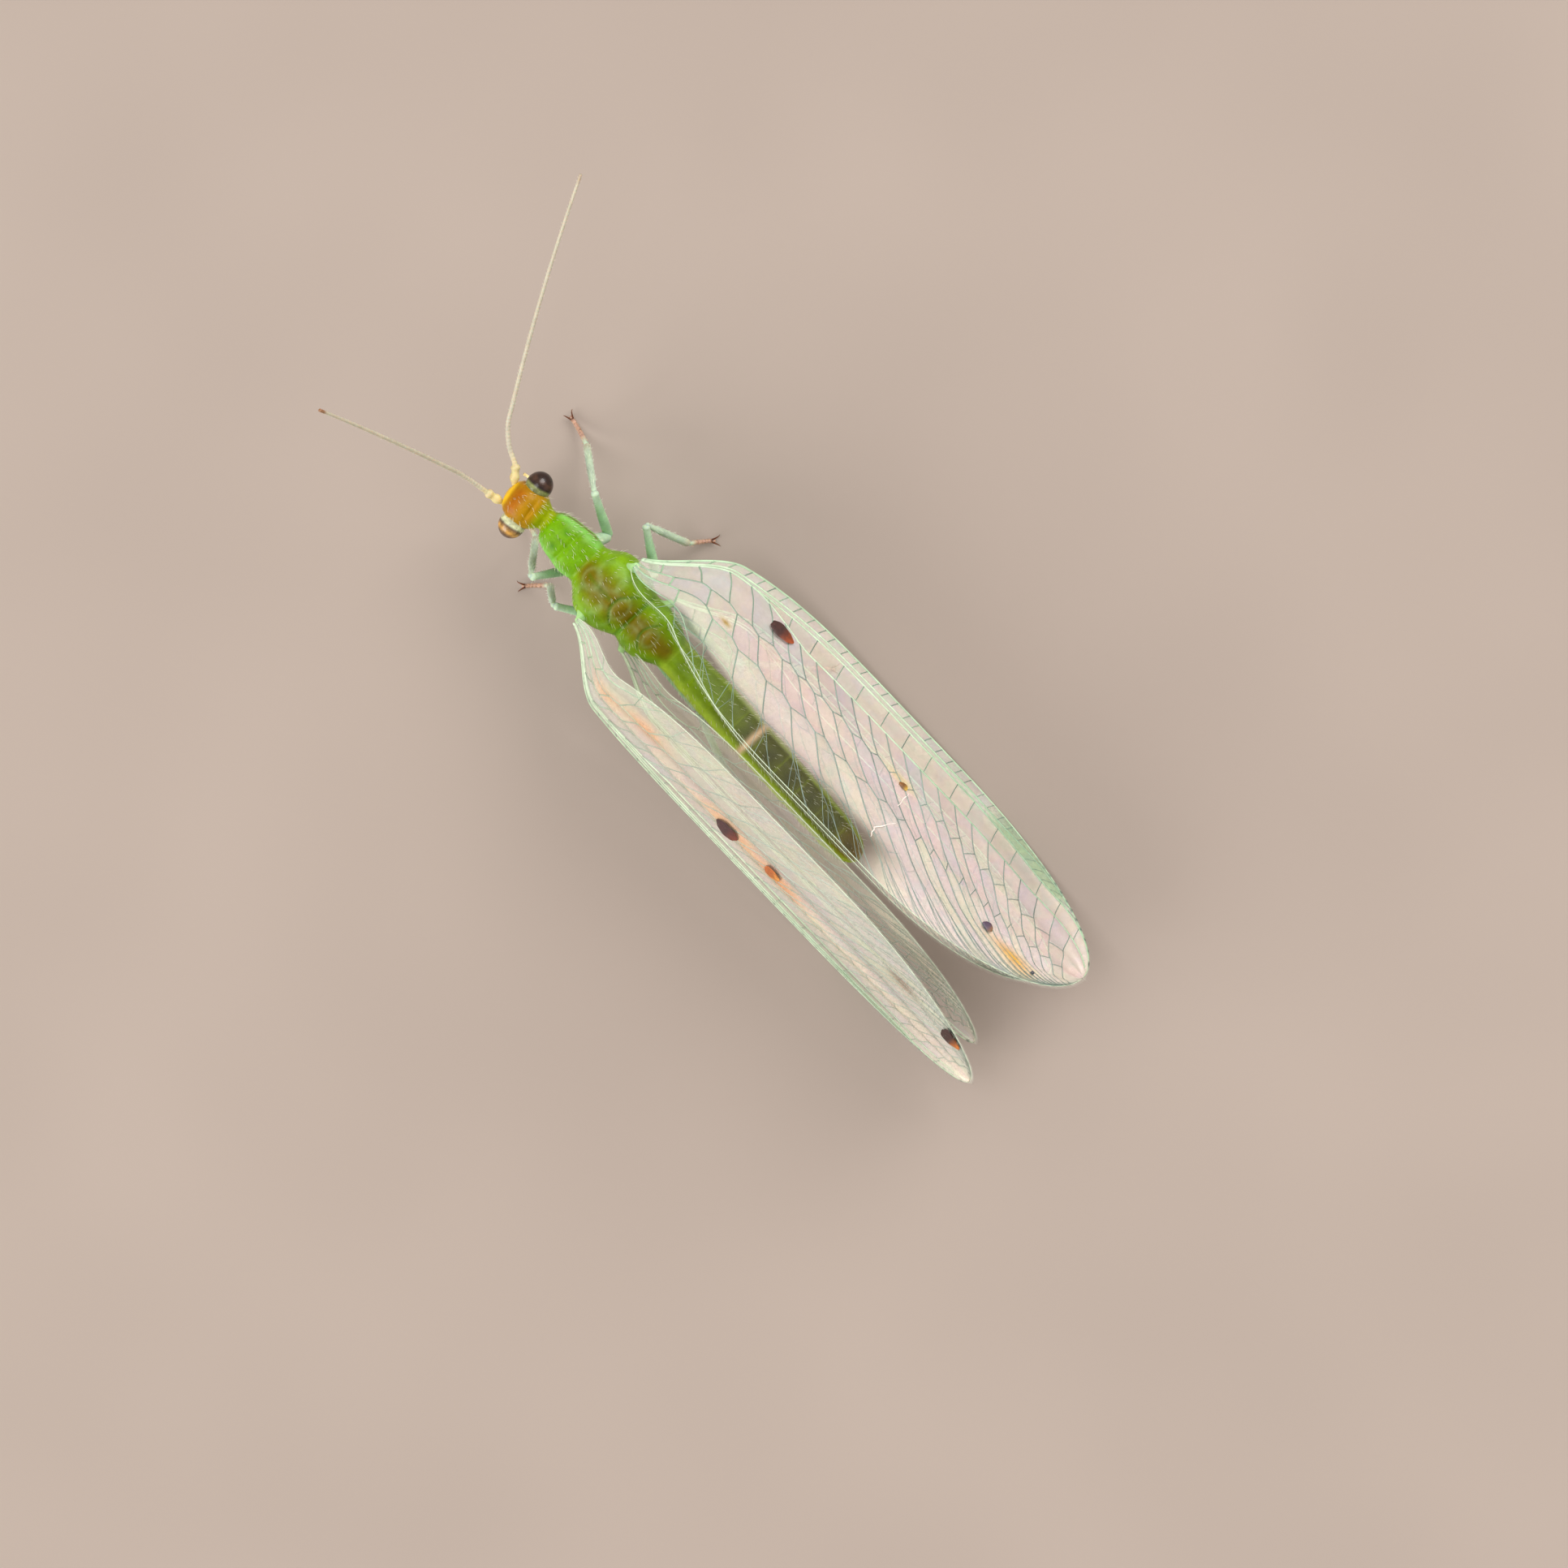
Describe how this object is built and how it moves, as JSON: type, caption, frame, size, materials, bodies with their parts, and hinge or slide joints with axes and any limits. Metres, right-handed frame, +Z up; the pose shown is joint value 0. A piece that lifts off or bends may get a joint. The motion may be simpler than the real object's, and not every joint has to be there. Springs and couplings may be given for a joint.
{
  "type": "green lacewing",
  "caption": "Still, life-size green lacewing standing with clear, veined wings folded like a roof over a slender body, feelers held out.",
  "frame": {"origin": "on the floor, under the middle of the insect's bounding box", "axes": "+Z up, +Y the way the head points, +X to the insect's right"},
  "size_m": [0.01, 0.0236, 0.0097],
  "materials": {
    "head_skin": "smooth orange-yellow cuticle, paler on the face",
    "mouth_skin": "pale yellow-white cuticle",
    "eye": "glossy faceted compound eye, dark brown with a gold-green glow",
    "green_skin": "bright green, slightly translucent cuticle",
    "olive_skin": "olive-yellow to green, slightly translucent cuticle",
    "leg_skin": "pale bluish-green, translucent, finely haired",
    "claw": "brown claws and foot pads",
    "feeler": "cream, ringed, finely haired",
    "wing_membrane": "clear membrane with a faint pink and green sheen",
    "wing_vein": "pale green long veins and grey-green cross-veins, finely haired",
    "pigment": "red-brown marks on the wings"
  },
  "bodies": {
    "root": {"head": "head_skin", "mouthparts": "mouth_skin", "eye_left": "eye", "eye_right": "eye", "antenna_left": "feeler", "antenna_right": "feeler", "prothorax": "green_skin", "mesothorax": "olive_skin", "metathorax": "olive_skin", "abdomen": "green_skin", "foreleg_left_femur": "leg_skin", "foreleg_left_tibia": "leg_skin", "foreleg_left_tarsus": "leg_skin", "foreleg_right_femur": "leg_skin", "foreleg_right_tibia": "leg_skin", "foreleg_right_tarsus": "leg_skin", "midleg_left_femur": "leg_skin", "midleg_left_tibia": "leg_skin", "midleg_left_tarsus": "leg_skin", "midleg_right_femur": "leg_skin", "midleg_right_tibia": "leg_skin", "midleg_right_tarsus": "leg_skin", "hindleg_left_femur": "leg_skin", "hindleg_left_tibia": "leg_skin", "hindleg_left_tarsus": "leg_skin", "hindleg_right_femur": "leg_skin", "hindleg_right_tibia": "leg_skin", "hindleg_right_tarsus": "leg_skin", "forewing_left": "wing_membrane", "forewing_right": "wing_membrane", "hindwing_left": "wing_membrane", "hindwing_right": "wing_membrane"}
  },
  "joints": []
}
